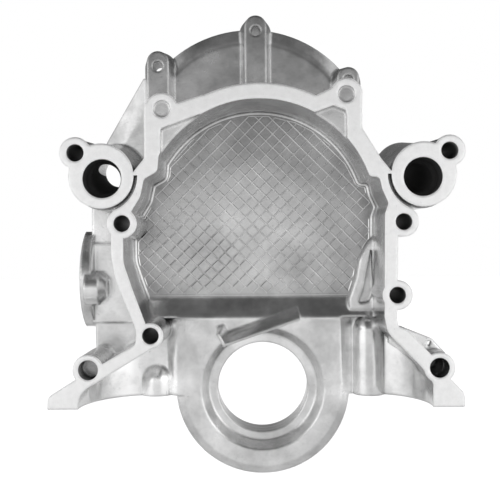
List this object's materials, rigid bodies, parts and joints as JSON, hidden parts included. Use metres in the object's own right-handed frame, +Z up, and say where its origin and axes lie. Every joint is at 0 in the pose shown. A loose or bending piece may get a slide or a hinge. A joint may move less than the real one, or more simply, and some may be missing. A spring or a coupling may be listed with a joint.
{
  "type": "timing cover",
  "caption": "Cast aluminium front cover of a V engine: closes the timing chain room, carries the crankshaft seal and leads water to the pump.",
  "frame": {"origin": "the crankshaft axis where it crosses the plane of the gasket face", "axes": "+Y along the crankshaft towards the front of the engine, +Z up towards the camshaft, +X to the right as the engine side is looked at"},
  "size_m": [0.2522, 0.07, 0.3035],
  "materials": {
    "cast_aluminium": "smooth die cast skin with machined faces"
  },
  "bodies": {
    "root": {"timing_cover": "cast_aluminium"}
  },
  "joints": []
}
